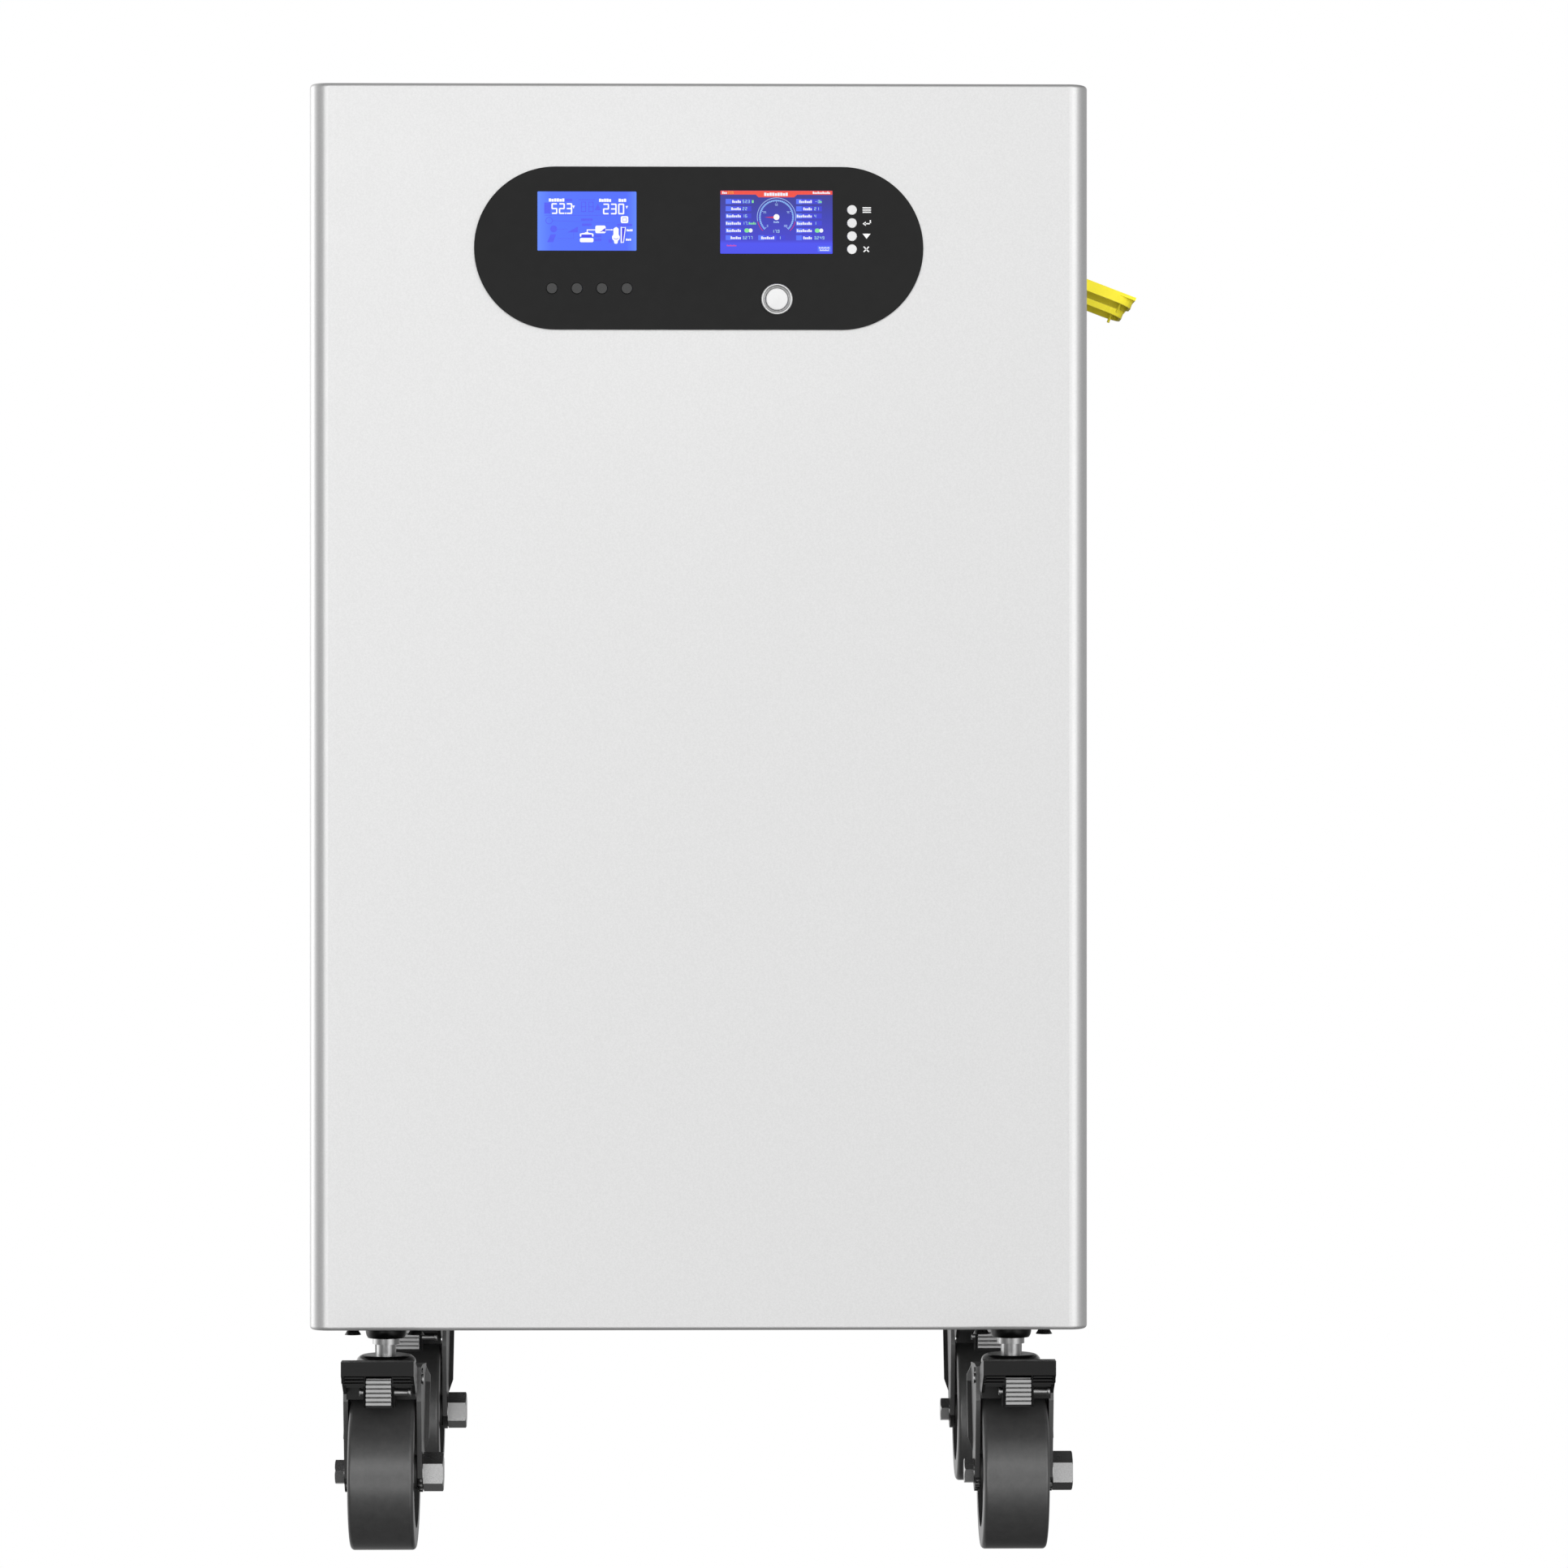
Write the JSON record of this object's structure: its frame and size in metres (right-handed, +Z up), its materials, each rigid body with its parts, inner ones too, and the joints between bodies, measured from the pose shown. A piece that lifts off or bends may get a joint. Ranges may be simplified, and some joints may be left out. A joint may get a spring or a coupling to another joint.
{
  "type": "battery storage cabinet",
  "caption": "Free-standing sheet-metal battery cabinet on braked swivel casters, with a front control panel and hinged outlet covers.",
  "frame": {"origin": "middle of the whole object's footprint, on the floor under the wheels", "axes": "+X to the right of the front panel, towards the outlet covers; +Y from the front panel to the rear cover; +Z up"},
  "size_m": [0.544, 0.4958, 0.9435],
  "materials": {
    "powder_coat": "satin, fine texture",
    "panel_film": "matt",
    "lcd_glass": "gloss",
    "screen_glass": "gloss",
    "chrome_ring": "polished",
    "white_cap": "satin",
    "grey_cap": "satin",
    "yellow_plastic": "satin",
    "black_plastic": "satin",
    "plated_steel": "satin",
    "galvanised_steel": "satin",
    "cell_wrap": "satin film",
    "copper": "satin",
    "cable_rubber": "matt",
    "circuit_board": "satin",
    "heat_sink": "satin",
    "black_rubber": "matt",
    "caster_paint": "satin black",
    "black_steel": "black oxide",
    "gloss_black": "gloss",
    "caster_steel": "satin grey",
    "wheel_tread": "matt charcoal",
    "wheel_centre": "satin",
    "brake_alloy": "satin"
  },
  "bodies": {
    "cabinet": {"cabinet_shell": "powder_coat", "base_pan": "powder_coat", "rear_cover": "powder_coat", "cover_screws": "plated_steel", "control_panel": "panel_film", "inverter_display": "lcd_glass", "battery_display": "screen_glass", "power_bezel": "chrome_ring", "outlet_sockets": "black_plastic", "flap_hinge_pins": "plated_steel", "battery_racks": "galvanised_steel", "battery_cells": "cell_wrap", "cell_busbars": "copper", "battery_cables": "cable_rubber", "bms_board": "circuit_board", "inverter_module": "heat_sink", "main_fuse": "black_plastic", "fan_frame": "black_plastic", "cable_grommet": "black_rubber", "caster_plates": "caster_paint", "caster_screws": "black_steel", "caster_kingpins": "plated_steel", "caster_dust_caps": "gloss_black"},
    "caster_1": {"caster_fork_1": "caster_steel", "caster_bolts_1": "black_steel"},
    "wheel_1": {"caster_tyre_1": "wheel_tread", "caster_hub_1": "wheel_centre"},
    "pedal_1": {"caster_pedal_1": "caster_paint", "caster_brake_block_1": "brake_alloy"},
    "caster_2": {"caster_fork_2": "caster_steel", "caster_bolts_2": "black_steel"},
    "wheel_2": {"caster_tyre_2": "wheel_tread", "caster_hub_2": "wheel_centre"},
    "pedal_2": {"caster_pedal_2": "caster_paint", "caster_brake_block_2": "brake_alloy"},
    "caster_3": {"caster_fork_3": "caster_steel", "caster_bolts_3": "black_steel"},
    "wheel_3": {"caster_tyre_3": "wheel_tread", "caster_hub_3": "wheel_centre"},
    "pedal_3": {"caster_pedal_3": "caster_paint", "caster_brake_block_3": "brake_alloy"},
    "caster_4": {"caster_fork_4": "caster_steel", "caster_bolts_4": "black_steel"},
    "wheel_4": {"caster_tyre_4": "wheel_tread", "caster_hub_4": "wheel_centre"},
    "pedal_4": {"caster_pedal_4": "caster_paint", "caster_brake_block_4": "brake_alloy"},
    "menu_key_1": {"menu_button_1": "white_cap"},
    "setting_key_1": {"setting_button_1": "grey_cap"},
    "menu_key_2": {"menu_button_2": "white_cap"},
    "setting_key_2": {"setting_button_2": "grey_cap"},
    "menu_key_3": {"menu_button_3": "white_cap"},
    "setting_key_3": {"setting_button_3": "grey_cap"},
    "menu_key_4": {"menu_button_4": "white_cap"},
    "setting_key_4": {"setting_button_4": "grey_cap"},
    "power_key": {"power_button": "white_cap"},
    "flap_1": {"outlet_flap_1": "yellow_plastic"},
    "flap_2": {"outlet_flap_2": "yellow_plastic"},
    "fan": {"fan_rotor": "black_plastic"}
  },
  "joints": [
    {"name": "caster_swivel_1", "type": "hinge", "parent": "cabinet", "child": "caster_1", "pos_m": [-0.22496, -0.14885, 0.12], "axis": [0, 0, 1], "continuous": true},
    {"name": "wheel_spin_1", "type": "hinge", "parent": "caster_1", "child": "wheel_1", "pos_m": [-0.22496, -0.16985, 0.05], "axis": [1, 0, 0], "continuous": true},
    {"name": "pedal_lift_1", "type": "hinge", "parent": "caster_1", "child": "pedal_1", "pos_m": [-0.22496, -0.18885, 0.112], "axis": [-1, 0, 0], "range_deg": [0, 12]},
    {"name": "caster_swivel_2", "type": "hinge", "parent": "cabinet", "child": "caster_2", "pos_m": [0.18104, -0.14885, 0.12], "axis": [0, 0, 1], "continuous": true},
    {"name": "wheel_spin_2", "type": "hinge", "parent": "caster_2", "child": "wheel_2", "pos_m": [0.18104, -0.16985, 0.05], "axis": [1, 0, 0], "continuous": true},
    {"name": "pedal_lift_2", "type": "hinge", "parent": "caster_2", "child": "pedal_2", "pos_m": [0.18104, -0.18885, 0.112], "axis": [-1, 0, 0], "range_deg": [0, 12]},
    {"name": "caster_swivel_3", "type": "hinge", "parent": "cabinet", "child": "caster_3", "pos_m": [-0.22496, 0.19715, 0.12], "axis": [0, 0, 1], "continuous": true},
    {"name": "wheel_spin_3", "type": "hinge", "parent": "caster_3", "child": "wheel_3", "pos_m": [-0.22496, 0.17615, 0.05], "axis": [1, 0, 0], "continuous": true},
    {"name": "pedal_lift_3", "type": "hinge", "parent": "caster_3", "child": "pedal_3", "pos_m": [-0.22496, 0.15715, 0.112], "axis": [-1, 0, 0], "range_deg": [0, 12]},
    {"name": "caster_swivel_4", "type": "hinge", "parent": "cabinet", "child": "caster_4", "pos_m": [0.18104, 0.19715, 0.12], "axis": [0, 0, 1], "continuous": true},
    {"name": "wheel_spin_4", "type": "hinge", "parent": "caster_4", "child": "wheel_4", "pos_m": [0.18104, 0.17615, 0.05], "axis": [1, 0, 0], "continuous": true},
    {"name": "pedal_lift_4", "type": "hinge", "parent": "caster_4", "child": "pedal_4", "pos_m": [0.18104, 0.15715, 0.112], "axis": [-1, 0, 0], "range_deg": [0, 12]},
    {"name": "menu_press_1", "type": "slide", "parent": "cabinet", "child": "menu_key_1", "axis": [0, 1, 0], "range_m": [0, 0.001], "stiffness_N_per_m": 300},
    {"name": "setting_press_1", "type": "slide", "parent": "cabinet", "child": "setting_key_1", "axis": [0, 1, 0], "range_m": [0, 0.001], "stiffness_N_per_m": 300},
    {"name": "menu_press_2", "type": "slide", "parent": "cabinet", "child": "menu_key_2", "axis": [0, 1, 0], "range_m": [0, 0.001], "stiffness_N_per_m": 300},
    {"name": "setting_press_2", "type": "slide", "parent": "cabinet", "child": "setting_key_2", "axis": [0, 1, 0], "range_m": [0, 0.001], "stiffness_N_per_m": 300},
    {"name": "menu_press_3", "type": "slide", "parent": "cabinet", "child": "menu_key_3", "axis": [0, 1, 0], "range_m": [0, 0.001], "stiffness_N_per_m": 300},
    {"name": "setting_press_3", "type": "slide", "parent": "cabinet", "child": "setting_key_3", "axis": [0, 1, 0], "range_m": [0, 0.001], "stiffness_N_per_m": 300},
    {"name": "menu_press_4", "type": "slide", "parent": "cabinet", "child": "menu_key_4", "axis": [0, 1, 0], "range_m": [0, 0.001], "stiffness_N_per_m": 300},
    {"name": "setting_press_4", "type": "slide", "parent": "cabinet", "child": "setting_key_4", "axis": [0, 1, 0], "range_m": [0, 0.001], "stiffness_N_per_m": 300},
    {"name": "power_press", "type": "slide", "parent": "cabinet", "child": "power_key", "axis": [0, 1, 0], "range_m": [0, 0.0015], "stiffness_N_per_m": 500},
    {"name": "flap_hinge_1", "type": "hinge", "parent": "cabinet", "child": "flap_1", "pos_m": [0.23354, -0.01585, 0.832], "axis": [0, 1, 0], "range_deg": [-25, 69]},
    {"name": "flap_hinge_2", "type": "hinge", "parent": "cabinet", "child": "flap_2", "pos_m": [0.23354, 0.06415, 0.832], "axis": [0, 1, 0], "range_deg": [-25, 69]},
    {"name": "fan_spin", "type": "hinge", "parent": "cabinet", "child": "fan", "pos_m": [-0.11196, 0.22415, 0.83], "axis": [0, 1, 0], "continuous": true}
  ]
}
